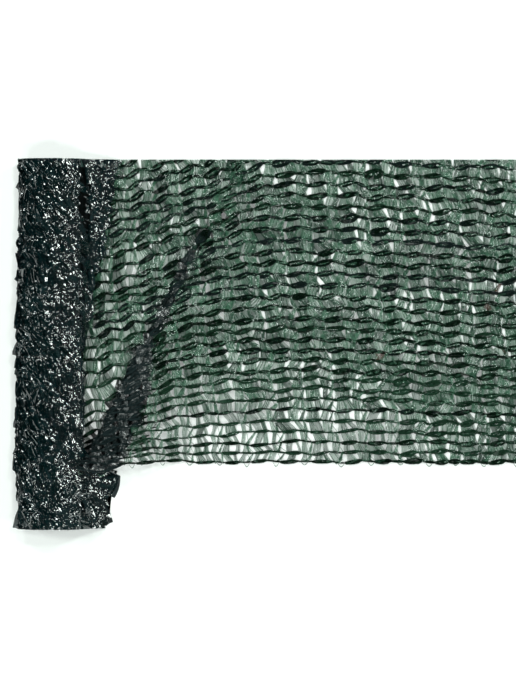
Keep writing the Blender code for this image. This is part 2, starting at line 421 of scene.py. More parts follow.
# A row for each of the pleat's layers: the values of u over which it runs, which way its chains run along
# X, how long a stitch is, how far the tapes pull a chain aside, and how far the layer runs on straight past
# its fold, in under the others.
LAYERS = table_of(
    "name u_from u_to way stitch wave run_on",
    ("drawn out", 3.25, 1.52, -1.0, 5.64, 0.36, 0.0),
    ("turned over", 1.75, 1.25, 1.0, 5.64, 0.40, 0.0),
    ("from the roll", 1.25, -0.3, -1.0, 4.94, 0.52, 12.0),
)
RUN_ON_POINTS = 24


def unit(vectors):
    """The same directions, each of length 1."""
    return vectors / np.maximum(np.linalg.norm(vectors, axis=-1, keepdims=True), 1e-9)


def chain_slope(u, x, y):
    """Y over X of the chains at a point of the loose end. Each slope comes in between two places."""
    sag = SAG_SLOPE * ease(x, 100.0, 145.0) * ease(y, -45.0, -15.0)
    spread = SPREAD_SLOPE * ease(x, 112.0, 67.0) * ease(y, -46.0, -32.0)
    drawn = DRAWN_SLOPE * ease(y, -42.0, -6.0)
    past_fold = np.maximum(x - right_fold_at(y), 0.0)
    reach = 11.0 + 6.0 * ease(y, 20.0, 60.0)
    drawn = drawn * np.exp(-((past_fold / reach) ** 2)) * ease(y, -47.0, -27.0)
    right_side = sag + spread + drawn
    fold = ease(right_fold_at(y) - left_fold_at(y), 1.0, 4.0)
    middle = MIDDLE_SLOPE * fold + LEFT_SLOPE * (1.0 - fold)
    _, turned_over, from_roll = LAYERS
    return np.where(u > turned_over.u_from, right_side, np.where(u > from_roll.u_from, middle, LEFT_SLOPE))


def chain_lines():
    """u and y along every chain, from the cut end back to the roll."""
    y = [CHAIN_NEAR]
    for band in CHAIN_BANDS:
        for _ in range(band.chains):
            y.append(y[-1] + band.pitch)
    y = np.array(y)
    drawn_out = np.linspace(LAYERS[0].u_from, 2.0, CHAIN_POINTS[0])
    pleat = np.linspace(2.0, 1.0, CHAIN_POINTS[1])[1:]
    from_roll = np.linspace(1.0, LAYERS[-1].u_to, CHAIN_POINTS[2])[1:]
    us = np.concatenate((drawn_out, pleat, from_roll))
    lines = [y]
    for u_from, u_to in zip(us, us[1:]):
        here = net_surface(u_from, y)
        moved = net_surface(u_to, y)[:, 0] - here[:, 0]
        lean = net_surface(u_to, y + 0.5)[:, 0] - net_surface(u_to, y - 0.5)[:, 0]
        slope = chain_slope(u_to, here[:, 0], y)
        step = slope * moved / np.maximum(1.0 - slope * lean, 0.3)
        y = y + np.where((lines[0] == CHAIN_NEAR) & (u_to > EDGE_CHAIN_U), 0.0, step)
        lines.append(y)
    return us, np.array(lines).T


def stitch_numbers(run, stitch):
    """How many stitches come before each place of a run, with long and short stitches by turns."""
    count = int(np.max(run) / stitch) + 4
    lengths = stitch * np.where(np.arange(count) % 2 == 0, LONG_STITCH, 2.0 - LONG_STITCH)
    return np.interp(run, np.concatenate(([0.0], np.cumsum(lengths))), np.arange(count + 1))


class Line:
    """A line that a chain follows, with the number of the stitch, which need not be whole, at each point."""

    def __init__(self, points, normals, numbers, present, wave, seed):
        self.points = points
        self.normals = normals
        self.numbers = numbers
        self.present = present.astype(float)
        self.first = math.ceil(numbers[0])
        self.last = math.floor(numbers[-1])
        noise = np.random.default_rng(seed)
        self.waves = [(noise.uniform(*WAVELENGTHS), noise.uniform(0.0, FULL_TURN)) for _ in range(3)]
        self.wave = wave * noise.uniform(0.8, 1.2)
        self.jogs = noise.normal(0.0, min(UNEVEN_WAVE, wave), self.last + 3)
        self.jolts = noise.normal(0.0, UNEVEN_COURSE, self.last + 3)

    def at(self, number, table):
        """A table's points or normals at these stitches."""
        return np.stack([np.interp(number, self.numbers, table[:, i]) for i in range(3)], axis=-1)

    def frame(self, number):
        """Centre, along, across and up at these stitches, with the chain's own waves in the centre."""
        every = np.arange(len(self.jogs))
        place = number + np.interp(number, every, self.jolts)
        for wavelength, phase in self.waves:
            slower = FULL_TURN * number / (2.0 * wavelength) + 2.0 * phase
            place = place + COURSE_WANDER / 3.0 * np.cos(slower)
        centre = self.at(place, self.points)
        along = unit(self.at(place + 0.06, self.points) - self.at(place - 0.06, self.points))
        up = unit(self.at(place, self.normals))
        across = unit(np.cross(along, up))
        aside = self.wave * np.cos(math.pi * number) + np.interp(number, every, self.jogs)
        for wavelength, phase in self.waves:
            aside = aside + WOBBLE / 3.0 * np.sin(FULL_TURN * number / wavelength + phase)
        return centre + across * aside[..., None], along, across, up

    def has(self, number):
        """Whether the net has these stitches."""
        present = np.interp(number, self.numbers, self.present) > 0.99
        return present & (number > self.numbers[0] + 0.2) & (number < self.numbers[-1] - 0.2)


def surface_normals(surface, first, second, first_step, second_step):
    """Normals of a surface of two values."""
    by_first = surface(first + first_step, second) - surface(first - first_step, second)
    by_second = surface(first, second + second_step) - surface(first, second - second_step)
    return unit(np.cross(by_first, by_second))


def layer_numbers(points, layer):
    """Stitch numbers along one layer: the chains' stitches lie side by side, whatever the chains' slopes."""
    run = layer.way * (points[:, 0] - COURSE_LEAN * points[:, 1])
    steps = np.linalg.norm(np.diff(points, axis=0), axis=1)
    length = np.concatenate(([0.0], np.cumsum(steps)))
    first, last = run.argmin(), run.argmax()
    run[:first] = run[first] + length[:first] - length[first]
    run[last:] = run[last] + length[last:] - length[last]
    run = np.maximum.accumulate(run)
    start = OVERALL_WIDTH + 2.0 * OVERRUN if layer.way < 0.0 else 0.0
    return stitch_numbers(run + start, layer.stitch)


def loose_lines():
    """The chains' lines in each layer, from the near edge on."""
    all_us, all_ys = chain_lines()
    layers = []
    for layer in LAYERS:
        shown = (all_us <= layer.u_from) & (all_us >= layer.u_to)
        us = all_us[shown]
        lines = []
        for chain, y in enumerate(all_ys[:, shown]):
            points = net_surface(us, y)
            normals = surface_normals(net_surface, us, y, 0.002, 0.2)
            present = (y > near_edge_at(us) - 0.2) & (y < FAR_EDGE + OVERRUN) & (us < CUT_END_U)
            if layer.run_on:
                past = np.linspace(layer.run_on, 0.5, RUN_ON_POINTS)
                past = past[:, None] * np.array([1.0, LEFT_SLOPE, 0.0])
                points = np.concatenate((points[0] + past, points))
                normals = np.concatenate((np.repeat(normals[:1], RUN_ON_POINTS, axis=0), normals))
                present = np.concatenate((np.full(RUN_ON_POINTS, present[0]), present))
            wave = layer.wave * (0.5 + 0.5 * min(chain / 12.0, 1.0)) if chain else EDGE_WAVE
            seed = 100 * len(layers) + chain
            lines.append(Line(points, normals, layer_numbers(points, layer), present, wave, seed))
        layers.append(lines)
    return layers


OVER_TABLE = 0.03  # the lowest that anything lies
# Painted shade: the tone is lowered in the pleat, where the net lies three deep and little light gets
# through.
PLEAT_SHADE = 0.88  # how far the tone falls in the pleat
# The chains' tone, and the painted light added to it towards the near edge, which makes them lighter there.
CHAIN_TONE = 0.65  # of the tone there, and what is added towards the near edge
NEAR_CHAIN_LIGHT = 0.50

# A row for each straight cut: a point on it and the way that is cut away.
CUTS = table_of(
    "place away",
    ((0.0, FAR_EDGE, 0.0), (0.0, 1.0, 0.0)),
    ((0.0, -FAR_EDGE, 0.0), (0.0, -1.0, 0.0)),
    ((OVERALL_WIDTH / 2.0, 0.0, 0.0), (1.0, 0.0, 0.0)),
)


def cut_at_edges(piece):
    """Cuts the piece along the net's far, near and end cuts, as scissors would."""
    bpy.ops.object.select_all(action="DESELECT")
    bpy.context.view_layer.objects.active = piece
    piece.select_set(True)
    bpy.ops.object.mode_set(mode="EDIT")
    for cut in CUTS:
        bpy.ops.mesh.select_all(action="SELECT")
        place = tuple(value * MM for value in cut.place)
        bpy.ops.mesh.bisect(plane_co=place, plane_no=cut.away, clear_outer=True)
    bpy.ops.object.mode_set(mode="OBJECT")


class Mesh:
    """Points and quads gathered from many small shapes, each with its own tone and finish."""

    def __init__(self):
        self.points, self.quads, self.tones, self.finishes, self.count = [], [], [], [], 0

    def add(self, points, quads, tone, finish=0):
        """points: (..., 3), quads: (..., 4) into them, a tone for each point and a finish for each quad."""
        points = points.reshape(-1, 3)
        quads = quads.reshape(-1, 4)
        self.points.append(points)
        self.quads.append(quads + self.count)
        self.tones.append(np.broadcast_to(tone, points.shape[:1]).astype(float))
        self.finishes.append(np.broadcast_to(finish, quads.shape[:1]).astype(np.int32))
        self.count += len(points)

    def piece(self, name, *finishes, smooth=True):
        """The finished piece, with whatever was knitted on past the cut edges cut away."""
        points = np.concatenate(self.points)
        quads = np.concatenate(self.quads)
        points[:, 0] -= OVERALL_WIDTH / 2.0
        points[:, 2] = np.maximum(points[:, 2], OVER_TABLE)
        mesh = bpy.data.meshes.new(name)
        mesh.vertices.add(len(points))
        mesh.vertices.foreach_set("co", (points * MM).ravel())
        mesh.loops.add(quads.size)
        mesh.loops.foreach_set("vertex_index", quads.ravel())
        mesh.polygons.add(len(quads))
        mesh.polygons.foreach_set("loop_start", np.arange(0, quads.size, 4))
        mesh.polygons.foreach_set("use_smooth", np.full(len(quads), smooth))
        for finish in finishes:
            mesh.materials.append(finish)
        mesh.polygons.foreach_set("material_index", np.concatenate(self.finishes))
        mesh.update(calc_edges=True)
        tone = mesh.attributes.new("tone", "FLOAT", "POINT")
        tone.data.foreach_set("value", np.concatenate(self.tones))
        piece = bpy.data.objects.new(name, mesh)
        bpy.context.scene.collection.objects.link(piece)
        cut_at_edges(piece)
        return piece


def grid_quads(rows, columns, ring):
    """Quads over a grid of points. With ring, the last column joins the first."""
    i, j = np.meshgrid(np.arange(rows - 1), np.arange(columns if ring else columns - 1), indexing="ij")
    k = (j + 1) % columns
    here, next_row = i * columns, (i + 1) * columns
    return np.stack((here + j, next_row + j, next_row + k, here + k), axis=-1)


def many_grids(count, rows, columns):
    """Quads over many like grids of points, one after the other."""
    one = grid_quads(rows, columns, False).reshape(-1, 4)
    return one[None] + (np.arange(count) * rows * columns)[:, None, None]


def pleat_share_at(points):
    """1 well inside the pleat, where the net lies three deep, and 0 away from it."""
    x, y = points[:, 0], points[:, 1]
    inside = np.minimum(x - left_fold_at(y), right_fold_at(y) - x)
    wide = ease(right_fold_at(y) - left_fold_at(y), 0.0, 5.0)
    return wide * ease(inside, -1.5, 1.5)


def pleat_shaded_tone_at(points):
    """How green the film is painted there: a blue-grey painted shade in the pleat, where the net lies three
    deep.
    """
    return 1.0 - PLEAT_SHADE * pleat_share_at(points)


def chain_shaded_and_lit_tone_at(points):
    """Painted shade in the pleat, and painted light on the chains towards the near edge, where they are thin.
    """
    return pleat_shaded_tone_at(points) * (CHAIN_TONE + NEAR_CHAIN_LIGHT * ease(points[:, 1], 18.0, -30.0))


def girth_at(points):
    """How stout the stitches are there, as a share of their plain girth."""
    near = ease(points[:, 1], -6.0, -32.0) * ease(points[:, 0], 170.0, 110.0)
    return 1.0 - NEAR_THINNING * near


def add_chain(mesh, line, first, last, noise, tone_of, twist_spread=STRAND_TWIST):
    """One chain's looped strand, from stitch first to stitch last, as a flattened cord."""
    stitches = np.arange(first, last)
    course = (stitches[:, None] + np.array([bend.along for bend in STITCH])[None, :]).ravel()
    stout = np.where(stitches % 2 == 0, STOUT_STITCH, FINE_STITCH)
    stout = stout * np.where(noise.random(len(stitches)) < KNOT_SHARE, KNOT_GIRTH, 1.0)
    stout = np.repeat(stout * noise.uniform(*UNEVEN_GIRTH, len(stitches)), len(STITCH))[:, None]
    aside = np.tile([bend.aside for bend in STITCH], len(stitches))[:, None]
    height = np.tile([bend.height for bend in STITCH], len(stitches))[:, None]
    centre, along, across, up = line.frame(course)
    stout = stout * girth_at(centre)[:, None]
    strand = centre + across * aside * STITCH_HALF_WIDTH * stout + up * height * STITCH_HEIGHT
    heading = unit(np.gradient(strand, axis=0))
    side = unit(np.cross(heading, up)) * stout
    top = np.cross(side, heading)
    twist = noise.normal(0.0, twist_spread, len(strand))[:, None]
    rings = []
    for corner in range(STRAND_SIDES):
        turn = (corner + 0.5) * 2.0 * math.pi / STRAND_SIDES + twist
        rings.append(side * STRAND_HALF_WIDTH * np.cos(turn) + top * STRAND_HALF_DEPTH * np.sin(turn))
    points = np.stack([strand + ring for ring in rings], axis=1)
    tones = noise.uniform(*TONES) * np.repeat(tone_of(centre), STRAND_SIDES)
    mesh.add(points, grid_quads(len(strand), STRAND_SIDES, True), tones)


def chain_runs(line):
    """First and last stitch of each unbroken run of stitches that the net has."""
    stitches = np.arange(line.first, line.last + 1)
    present = line.has(stitches.astype(float)).astype(int)
    edges = np.flatnonzero(np.diff(np.concatenate(([0], present, [0]))))
    return [(stitches[a], stitches[b - 1]) for a, b in zip(edges[::2], edges[1::2]) if b - a > 1]


TONES = (0.4, 1.0)  # between which a film's tone lies, from one length of it to another
DRIFT_SCALE = 640.0  # for each metre, as the scale of the creases is
CREASE_DEPTH = 0.4
# Painted shade: the blue-grey that the film is taken to where it lies deep in the pleat.
DEEP_SHADE_COLOUR = (0.010, 0.017, 0.018)
SOIL_COLOUR = (0.070, 0.036, 0.024)


def film_finish(name, colour, shade, roughness, alpha=1.0, gloss=1.0, crease_scale=700.0, creases=0.4):
    """Glossy film. Its colour drifts between its shade and its full colour, from tape to tape and along each.

    The mesh's tone takes it to a blue-grey painted shade where it lies deep in the pleat, and to brown where
    it is soiled.
    """
    material, shader = plain_finish(name, colour, roughness)
    nodes, links = material.node_tree.nodes, material.node_tree.links
    tone = nodes.new("ShaderNodeAttribute")
    tone.attribute_name = "tone"
    place = nodes.new("ShaderNodeTexCoord")
    drift, crumple = nodes.new("ShaderNodeTexNoise"), nodes.new("ShaderNodeTexNoise")
    for pattern, scale, detail in ((drift, DRIFT_SCALE, 3.0), (crumple, crease_scale, 2.0)):
        pattern.inputs["Scale"].default_value = scale
        pattern.inputs["Detail"].default_value = detail
        links.new(place.outputs["Object"], pattern.inputs["Vector"])
    both = nodes.new("ShaderNodeMath")
    both.operation = "MULTIPLY"
    links.new(tone.outputs["Fac"], both.inputs[0])
    links.new(drift.outputs["Fac"], both.inputs[1])
    # The ramp's lowest stop is painted shade for the pleat; its last stop is real soil.
    ramp = nodes.new("ShaderNodeValToRGB")
    ramp.color_ramp.elements[0].position = 0.05
    ramp.color_ramp.elements[0].color = (*DEEP_SHADE_COLOUR, 1.0)
    ramp.color_ramp.elements[1].position = 0.24
    ramp.color_ramp.elements[1].color = (*shade, 1.0)
    for position, stop in ((0.52, colour), (0.85, colour), (1.00, SOIL_COLOUR)):
        ramp.color_ramp.elements.new(position).color = (*stop, 1.0)
    links.new(both.outputs["Value"], ramp.inputs["Fac"])
    links.new(ramp.outputs["Color"], shader.inputs["Base Color"])
    bump = nodes.new("ShaderNodeBump")
    bump.inputs["Strength"].default_value = creases
    bump.inputs["Distance"].default_value = CREASE_DEPTH * MM
    links.new(crumple.outputs["Fac"], bump.inputs["Height"])
    links.new(bump.outputs["Normal"], shader.inputs["Normal"])
    shader.inputs["Specular IOR Level"].default_value = gloss
    shader.inputs["Alpha"].default_value = alpha
    return material


loose_chain_layers = loose_lines()
chain_finish = film_finish(
    "chain_film", colour=(0.010, 0.030, 0.017), shade=(0.0004, 0.003, 0.0012),
    roughness=0.14, gloss=0.06, crease_scale=1400.0, creases=0.12,
)
dice = np.random.default_rng(7)
for layer, lines in zip(LAYERS, loose_chain_layers):
    chains = Mesh()
    for line in lines:
        for first, last in chain_runs(line):
            add_chain(chains, line, first, last, dice, chain_shaded_and_lit_tone_at)
    piece = chains.piece("chains_" + layer.name.replace(" ", "_"), chain_finish, smooth=False)
    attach(piece, "root")


# ----------------------------------------------------------
# Tapes of the loose end
# Wide, thin polyethylene film, slit and laid in between two chains from side to side. Each stitch
# gathers it to a cord, and between the chains it fans out in small lengthwise folds.

TAPE_SPANS = 5
END_SINK = 0.34  # most film passes this far under the stitch
END_RISE = 0.30  # and some laps this far over it
OVER_SHARE = 0.42
DENSE_WIDTH = 1.42  # the film's width where the net is drawn least, as a share of the plain width
OPEN_WIDTH = 0.77  # and where it is drawn most, near its near edge
PLEAT_WIDTH = 0.15  # what is added in the pleat
# Film drawn thin lets more light through; its paler colour is painted light, put near the near edge and
# beside the roll.
THIN_SHARE = 0.22  # of the film, and what is added near the near edge and beside the roll
THIN_NEAR = 0.70
THIN_BY_ROLL = 0.30
UNEVEN_WIDTH = (0.6, 1.3)  # from strip to strip
UNEVEN_DEPTH = (0.3, 1.6)  # from fold to fold
BOW = 0.12  # how far a strip bows aside or swells between its chains
UNEVEN_FOLD = 0.08
CRUMPLE = 0.05
SOILED_TONE = 2.4  # past the film's own colours

# A row for each soiled patch: its centre from the roll's outer side and its Y, how far it reaches, and the
# share of the film that is soiled at its centre.
SOILED = table_of(
    "x y reach share",
    (147.0, 44.0, 8.0, 0.30),
    (141.0, -2.0, 8.0, 0.30),
    (189.0, 0.0, 6.0, 0.30),
    (160.0, 20.0, 30.0, 0.02),
)

# A row for each strip that a tape is split into on its way from the lower chain to the upper one and back:
# where it leaves the lower chain and reaches the upper one, in stitches from the one it turns round, how wide
# it is there, and where its folds lie across it, back and forth, from -1 to 1.
BROAD_FOLDS = (-1.0, -0.56, -0.70, -0.26, -0.38, 0.08, -0.04, 0.42, 0.32, 0.78, 0.68, 1.0)
STRIPS = table_of(
    "name leaves reaches lower_width upper_width folds",
    ("broad fan", 0.66, 0.78, 3.9, 2.7, BROAD_FOLDS),
    ("narrow fan", 0.22, 0.36, 2.6, 1.7, (-1.0, -0.40, -0.58, 0.05, -0.12, 0.55, 0.40, 1.0)),
    ("doubled fan", -0.20, -0.29, 2.7, 2.3, (-1.0, -0.30, -0.48, 0.35, 0.12, 1.0, 0.60)),
    ("gathered cord", -0.58, -0.86, 1.7, 0.8, (-1.0, 0.8, -0.7, 1.0)),
    ("torn edge", -0.92, -0.42, 0.35, 0.45, (-1.0, 1.0)),
)

# How a net's film lies: how deep its small folds are, how far it arches up between its chains, how much its
# folds run together, how unevenly the stitches catch it, in stitches, and how to find its spread, its tone
# and the number of its finish.
Lay = namedtuple("Lay", "fold_depth arch drift uneven spread_of tone_of film_of")


def spread_at(points):
    """How wide the film fans out there."""
    near = ease(points[:, 1], -4.0, -36.0)
    left = ease(points[:, 0], 200.0, 90.0)
    return DENSE_WIDTH + (OPEN_WIDTH - DENSE_WIDTH) * near * left + PLEAT_WIDTH * pleat_share_at(points)


def thin_share_at(points):
    """The share of the film there that is drawn thin, and painted paler as light."""
    x, y = points[:, 0], points[:, 1]
    near = ease(y, 8.0, -36.0) * ease(x, 190.0, 120.0)
    by_roll = ease(left_fold_at(y) - x, 0.0, 6.0)
    return np.clip(THIN_SHARE + THIN_NEAR * near + THIN_BY_ROLL * by_roll, 0.0, 1.0)


def loose_film(points, noise):
    """The number of each strip's finish: 0 plain, 1 thin and painted paler as light, 2 in the pleat, painted
    shade.
    """
    thin = noise.random(len(points)) < thin_share_at(points)
    deep = noise.random(len(points)) < pleat_share_at(points)
    return np.where(deep, 2, np.where(thin, 1, 0))


def soil_share_at(points):
    """The share of the film there that is soiled."""
    share = np.zeros(len(points))
    for patch in SOILED:
        away = np.hypot(points[:, 0] - patch.x, points[:, 1] - patch.y)
        share += patch.share * smooth_step(1.0 - away / patch.reach)
    return share


def add_strips(mesh, strip, start, end, up, noise, lay, spread, tone):
    """Film from each start point to its end point, folded lengthwise in uneven small folds."""
    count, columns = len(start), len(strip.folds)
    if count == 0:
        return
    t = np.linspace(0.0, 1.0, TAPE_SPANS + 1)
    heading = unit(end - start)
    side = unit(np.cross(up, heading))
    top = np.cross(heading, side)
    lower = strip.lower_width * noise.uniform(*UNEVEN_WIDTH, count) * spread
    upper = strip.upper_width * noise.uniform(*UNEVEN_WIDTH, count) * spread
    swelling = np.sin(math.pi * t)
    width = lower[:, None] * (1.0 - t) + upper[:, None] * t
    width = width * (1.0 + noise.uniform(-BOW, BOW, count)[:, None] * swelling)
    bow = noise.normal(0.0, BOW, count)[:, None] * swelling
    folds = np.array(strip.folds) + noise.normal(0.0, UNEVEN_FOLD, (count, columns))
    drift = noise.normal(0.0, lay.drift, (count, 1, columns)) * (t - 0.5)[None, :, None]
    aside = bow[:, :, None] + width[:, :, None] / 2.0 * (folds[:, None, :] + drift)
    sign = np.where(np.arange(columns) % 2 == 0, 1.0, -1.0)
    depth = lay.fold_depth * noise.uniform(*UNEVEN_DEPTH, (count, 1, columns)) * sign
    lift = depth + noise.normal(0.0, CRUMPLE, (count, len(t), columns))
    sink = np.where(noise.random((count, 1)) < OVER_SHARE, -END_RISE, END_SINK)
    lift = lift + ((lay.arch + sink) * swelling**0.6 - sink)[:, :, None]
    points = start[:, None, None, :] + (end - start)[:, None, None, :] * t[None, :, None, None]
    points = points + side[:, None, None, :] * aside[..., None] + top[:, None, None, :] * lift[..., None]
    quads = many_grids(count, len(t), columns)
    tones = noise.uniform(*TONES, count) * tone
    tones = np.where(noise.random(count) < soil_share_at((start + end) / 2.0), SOILED_TONE, tones)
    tones = np.repeat(tones, len(t) * columns)
    films = lay.film_of((start + end) / 2.0, noise)
    mesh.add(points, quads, tones, np.repeat(films, quads.shape[1]))


def add_tape(mesh, lower, upper, noise, lay):
    """One tape, zigzagging between two neighbouring chains."""
    first = min(lower.first, upper.first)
    turns = np.arange(first - first % 2, max(lower.last, upper.last) + 2, 2).astype(float)
    for strip in STRIPS:
        jogs = noise.normal(0.0, lay.uneven, (2, len(turns)))
        leave = turns + strip.leaves + jogs[0]
        reach = turns + strip.reaches + jogs[1]
        both = lower.has(leave) & upper.has(reach)
        start, _, _, lower_up = lower.frame(leave[both])
        end, _, _, upper_up = upper.frame(reach[both])
        up = unit(lower_up + upper_up)
        middle = (start + end) / 2.0
        add_strips(mesh, strip, start, end, up, noise, lay, lay.spread_of(middle), lay.tone_of(middle))


tape_finish = film_finish(
    "laid_in_film", colour=(0.055, 0.150, 0.092), shade=(0.010, 0.052, 0.028),
    roughness=0.18, alpha=0.72, crease_scale=1300.0, creases=0.35,
)
# Thin film: its lower alpha is real, and its paler colour is painted light.
thin_lit_finish = film_finish(
    "thin_film", colour=(0.090, 0.210, 0.135), shade=(0.025, 0.095, 0.055),
    roughness=0.18, alpha=0.50, crease_scale=1300.0, creases=0.35,
)
# Painted shade: a darker copy of the laid-in film, for the film deep in the pleat, where little light gets
# through.
pleat_shade_finish = film_finish(
    "pleat_film", colour=(0.012, 0.024, 0.022), shade=(0.004, 0.010, 0.009),
    roughness=0.22, alpha=0.88, gloss=0.6, crease_scale=900.0, creases=0.22,
)
loose_lay = Lay(
    fold_depth=0.20, arch=0.0, drift=0.10, uneven=0.09,
    spread_of=spread_at, tone_of=pleat_shaded_tone_at, film_of=loose_film,
)
tapes = Mesh()
noise = np.random.default_rng(11)
for lines in loose_chain_layers:
    for lower, upper in zip(lines, lines[1:]):
        add_tape(tapes, lower, upper, noise, loose_lay)
loose_tapes = tapes.piece("loose_tapes", tape_finish, thin_lit_finish, pleat_shade_finish, smooth=False)
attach(loose_tapes, "root")
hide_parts("loose_end")


# ----------------------------------------------------------
# Loops along the near edge
# Where the outermost tape turns back round the last chain, every second stitch leaves a small slack loop
# of film standing out past the edge.

LOOP_EVERY = 2  # in stitches, and so is its half length
LOOP_HALF_LENGTH = 0.24
LOOP_OUT = (0.7, 1.7)
LOOP_FILM_WIDTH = 0.45
LOOP_STEPS = 12

edge_line = loose_chain_layers[0][0]
edge_loops = Mesh()
dice = np.random.default_rng(31)
middles = np.arange(edge_line.first + 1.5, edge_line.last - 1.0, LOOP_EVERY)
for middle in middles + dice.uniform(-0.15, 0.15, len(middles)):
    if not edge_line.has(middle):
        continue
    t = np.linspace(0.0, 1.0, LOOP_STEPS + 1)
    course = middle - LOOP_HALF_LENGTH * np.cos(math.pi * t) * (1.0 - 0.3 * np.sin(math.pi * t))
    centre, along, across, up = edge_line.frame(course)
    outward = across * np.where(across[:, 1:2] < 0.0, 1.0, -1.0)
    way_out = dice.uniform(*LOOP_OUT) * np.sin(math.pi * t)
    inner = centre + outward * way_out[:, None]
    outer = centre + outward * (way_out + LOOP_FILM_WIDTH)[:, None] + up * dice.uniform(-0.1, 0.25)
    points = np.stack((inner, outer), axis=1)
    edge_loops.add(points, grid_quads(LOOP_STEPS + 1, 2, False), dice.uniform(*TONES))
near_loops = edge_loops.piece("near_edge_loops", tape_finish)
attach(near_loops, "root")


# ----------------------------------------------------------
# Body of the roll
# The inner turns of the wound net, pressed together so closely that no light comes through, so their film is
# painted near black as shade. One solid of the roll's own form, a little inside the outer turns, with the
# turns' edges at both cut ends.

BODY_INSET = 1.9
BODY_SIDES = 96
BODY_STEP = 1.6
BODY_END = FAR_EDGE - 1.0
END_TURNS = 11
END_TURN_SIDES = 90
END_FILM = 0.22  # how thick the edge of one turn is
END_DEPTH = 3.0  # how far in from the cut the wound edges are made
END_UNEVEN = 0.5
END_WAVER = 0.012
END_START_DEG = 250.0  # where on the roll the outmost turn's edge starts
EYE_HEIGHT = 0.44  # of the spiral's middle, as a share of the roll's height
OUTMOST_TURN = 0.98  # of the way from that middle to the skin
TURNS_DEPTH = 0.90  # how much of the way the wound edges take up


def skin_normals(y, degrees):
    """Outward normals of the roll's skin, straight across where the skirt's lip meets the table."""
    y, degrees = np.broadcast_arrays(np.asarray(y, float), np.asarray(degrees, float))
    held = np.maximum(degrees, SKIRT_SOLE_DEG + 6.0)
    by_turn = roll_skin(y, held + 1.5) - roll_skin(y, held - 1.5)
    across = np.stack((by_turn[..., 2], np.zeros_like(y), -by_turn[..., 0]), axis=-1)
    return unit(across)


# Painted shade: the wound film is as green as the loose end's, but it is coloured near black for turns that
# light never reaches.
body_shade_finish = film_finish(
    "wound_film", colour=(0.004, 0.006, 0.006), shade=(0.001, 0.002, 0.002),
    roughness=0.5, gloss=0.1, crease_scale=1400.0, creases=0.12,
)
body_ys = np.linspace(-BODY_END, BODY_END, int(OVERALL_LENGTH / BODY_STEP))
body_degrees = -90.0 + 360.0 * np.arange(BODY_SIDES) / BODY_SIDES
body_skin = roll_skin(body_ys[:, None], body_degrees[None, :])
body_inward = -skin_normals(body_ys[:, None], body_degrees[None, :])
body_inward[:, :, 2] = np.minimum(body_inward[:, :, 2], 0.0)
body_points = body_skin + body_inward * BODY_INSET
body = Mesh()
body.add(body_points, grid_quads(len(body_ys), BODY_SIDES, True), 0.5)
roll_body = body.piece("roll_body", body_shade_finish)
bpy.ops.object.mode_set(mode="EDIT")
bpy.ops.mesh.select_all(action="SELECT")
bpy.ops.mesh.fill_holes(sides=0)
bpy.ops.object.mode_set(mode="OBJECT")
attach(roll_body, "root")
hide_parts("net_roll")


def wound_edges(end, noise):
    """The net's own edge, wound up in a spiral at one cut end: 1 the far end, -1 the near end."""
    wound = np.linspace(0.0, END_TURNS, END_TURNS * END_TURN_SIDES + 1)
    degrees = END_START_DEG - 360.0 * (wound % 1.0)
    degrees = np.where(degrees < -90.0, degrees + 360.0, degrees)
    skin = roll_skin(end * BODY_END, degrees)
    centre = np.array([ROLL_WIDTH / 2.0, end * BODY_END, EYE_HEIGHT * ROLL_HEIGHT])
    draws = noise.normal(0.0, END_WAVER, 4 * END_TURNS + 4)
    waver = np.interp(wound, np.arange(0.0, END_TURNS + 1.0, 0.25), draws)
    share = OUTMOST_TURN - TURNS_DEPTH * wound / END_TURNS + waver
    outward = skin - centre
    outer = centre + outward * share[:, None]
    inner = outer - unit(outward) * END_FILM
    draws = noise.uniform(0.0, END_UNEVEN, 8 * END_TURNS + 8)
    edge = np.interp(wound, np.arange(0.0, END_TURNS + 1.0, 0.125), draws)
    outmost = end * (FAR_EDGE - 0.1 - edge)
    deepest = np.full_like(outmost, end * (FAR_EDGE - END_DEPTH))
    corners = []
    for layer, y in ((outer, deepest), (outer, outmost), (inner, outmost), (inner, deepest)):
        corner = layer.copy()
        corner[:, 1] = y
        corner[:, 2] = np.maximum(corner[:, 2], 0.05)
        corners.append(corner)
    points = np.stack(corners, axis=1)
    return points if end > 0 else points[:, ::-1]


edge_finish = film_finish(
    "wound_edge_film", colour=(0.022, 0.050, 0.044), shade=(0.004, 0.010, 0.009), roughness=0.25, gloss=0.7
)
wound_edge_mesh = Mesh()
noise = np.random.default_rng(53)
for end in (1.0, -1.0):
    points = wound_edges(end, noise)
    tones = np.repeat(noise.uniform(*TONES, len(points)), 4)
    wound_edge_mesh.add(points, grid_quads(len(points), 4, False), tones)
roll_ends = wound_edge_mesh.piece("roll_ends", edge_finish, smooth=False)
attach(roll_ends, "root")


# ----------------------------------------------------------
# Outer turns of the roll
# The last turns of net wound on the roll: the same chains and film tapes as the loose end, running
# round it, so many deep that little light gets in. Their colours are painted shade, near black with a
# blue cast painted for the cool light their film reflects; the small glints come from the lamps.

ROLL_PITCH = 5.8
ROLL_STITCH = 5.2
ROLL_WAVE = 0.8
ROLL_TWIST = 0.8
ROLL_FROM_DEG = 232.0
ROLL_TO_DEG = -76.0
ROLL_LEAN = 6.0  # how many times more its courses lean than the loose end's
ROLL_POINTS = 240
SLANT_FROM = 28.0  # the length round the roll at which a slanting chain is at its own Y
SEAM_TOP_DEG = 22.0  # between the roll and its skirt a dark seam shows, down to the inner turns
SEAM_SOLE_DEG = -6.0
SEAM_UNEVEN_DEG = 6.0
ROLL_SPREAD = 1.75

# A row for each turn that shows: how far it lies under the skin, how far its film stands up between
# its chains, how far it is shifted along the roll, Y over length of its chains at the far and near cuts,
# and its seed.
ROLL_TURNS = table_of(
    "depth arch shift far_slant near_slant seed",
    (0.62, 0.55, 0.0, -0.05, -0.50, 500),
    (1.15, 0.30, 2.9, 0.30, 0.10, 700),
)


